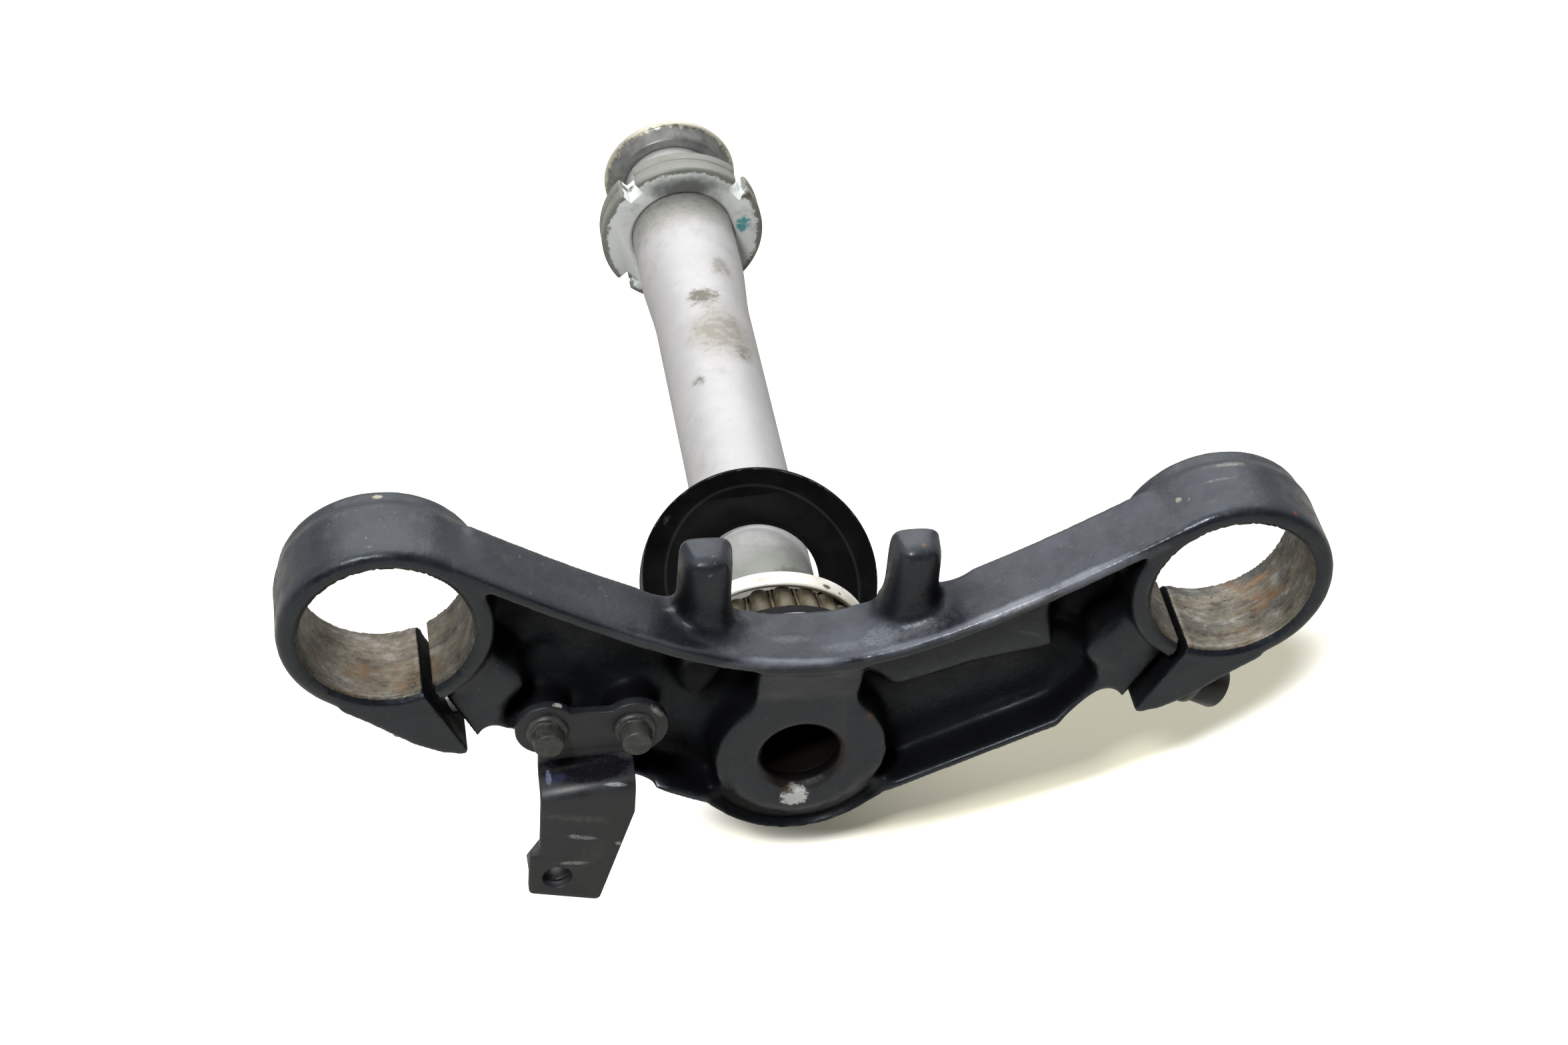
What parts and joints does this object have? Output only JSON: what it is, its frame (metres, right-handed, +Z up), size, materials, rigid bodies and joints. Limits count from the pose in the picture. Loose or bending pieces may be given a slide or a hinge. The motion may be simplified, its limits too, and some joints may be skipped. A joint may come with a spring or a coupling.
{
  "type": "motorcycle lower triple clamp with steering stem",
  "caption": "Lower fork yoke with split clamp rings, pressed steering stem, tapered roller bearing, slotted ring nut, stop lugs and a folded hose bracket.",
  "frame": {"origin": "on the steering stem's axis, in the plane of the fork clamps' lower faces", "axes": "+Z up along the stem, -Y towards the front of the bike, +X to the side away from the hose bracket"},
  "size_m": [0.2702, 0.1215, 0.2815],
  "materials": {
    "yoke_paint": "satin dark blue-grey paint, worn at the edges",
    "stem_steel": "satin steel with smudges",
    "washer_steel": "dull steel",
    "seal_rubber": "black rubber",
    "race_steel": "ground steel",
    "roller_steel": "steel under old tan grease",
    "cage_steel": "pressed steel under old tan grease",
    "cup_steel": "ground steel, dulled",
    "disc_black": "black rubber coated plate",
    "nut_zinc": "dull zinc",
    "top_washer_steel": "light zinc",
    "bracket_black": "black paint, scratched",
    "weld_nut_steel": "black paint",
    "bracket_bolt_zinc": "dulled dark zinc",
    "pinch_bolt_steel": "dark blackened steel",
    "pinch_washer_steel": "dark steel",
    "pinch_stud_steel": "dull zinc"
  },
  "bodies": {
    "root": {"lower_yoke": "yoke_paint", "steering_stem": "stem_steel", "seal_washer": "washer_steel", "lower_dust_seal": "seal_rubber", "bearing_inner_race": "race_steel", "bearing_rollers": "roller_steel", "bearing_cage": "cage_steel", "bearing_outer_race": "cup_steel", "dust_cover_disc": "disc_black", "adjuster_ring_nut": "nut_zinc", "stem_top_washer": "top_washer_steel", "hose_bracket": "bracket_black", "bracket_weld_nut": "weld_nut_steel", "bracket_bolts": "bracket_bolt_zinc", "pinch_bolt_right": "pinch_bolt_steel", "pinch_washer_right": "pinch_washer_steel", "pinch_bolt_left": "pinch_stud_steel"}
  },
  "joints": []
}
